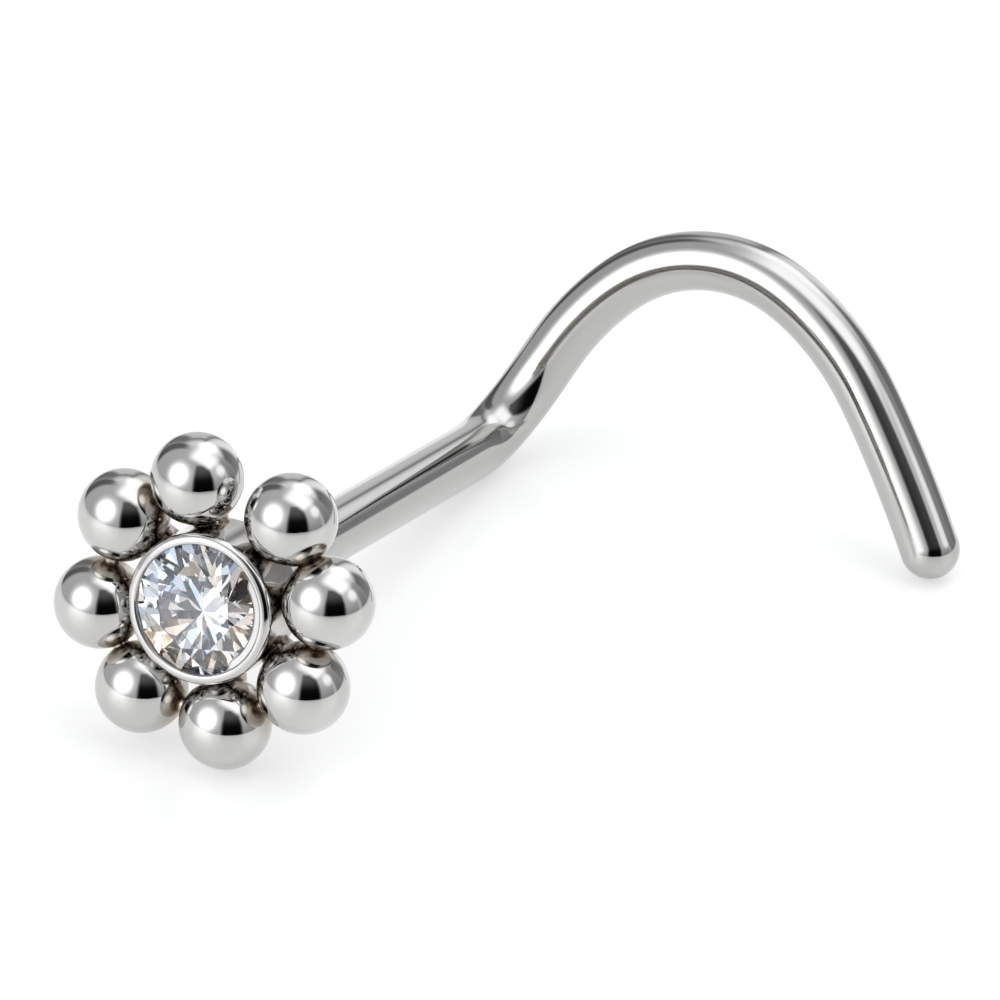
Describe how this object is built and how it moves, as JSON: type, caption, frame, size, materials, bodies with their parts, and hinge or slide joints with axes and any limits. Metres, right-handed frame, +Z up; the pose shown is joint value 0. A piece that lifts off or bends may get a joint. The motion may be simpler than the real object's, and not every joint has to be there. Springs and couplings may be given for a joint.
{
  "type": "nostril screw stud",
  "caption": "Nostril screw with a bezel-set round stone in a flower of metal beads, a straight post and a hooked wire curl.",
  "frame": {"origin": "on the surface that it lies on, under the middle of its box", "axes": "+Z up as it lies at rest, +Y back along the post, seen from above, -Y the side that the stone faces, +X the side that the curl goes to"},
  "size_m": [0.0088, 0.0114, 0.0042],
  "materials": {
    "polished_steel": "mirror-polished surgical steel",
    "clear_stone": "faceted and polished clear cubic zirconia"
  },
  "bodies": {
    "root": {"soldered_setting_and_wire": "polished_steel", "stone": "clear_stone"}
  },
  "joints": []
}
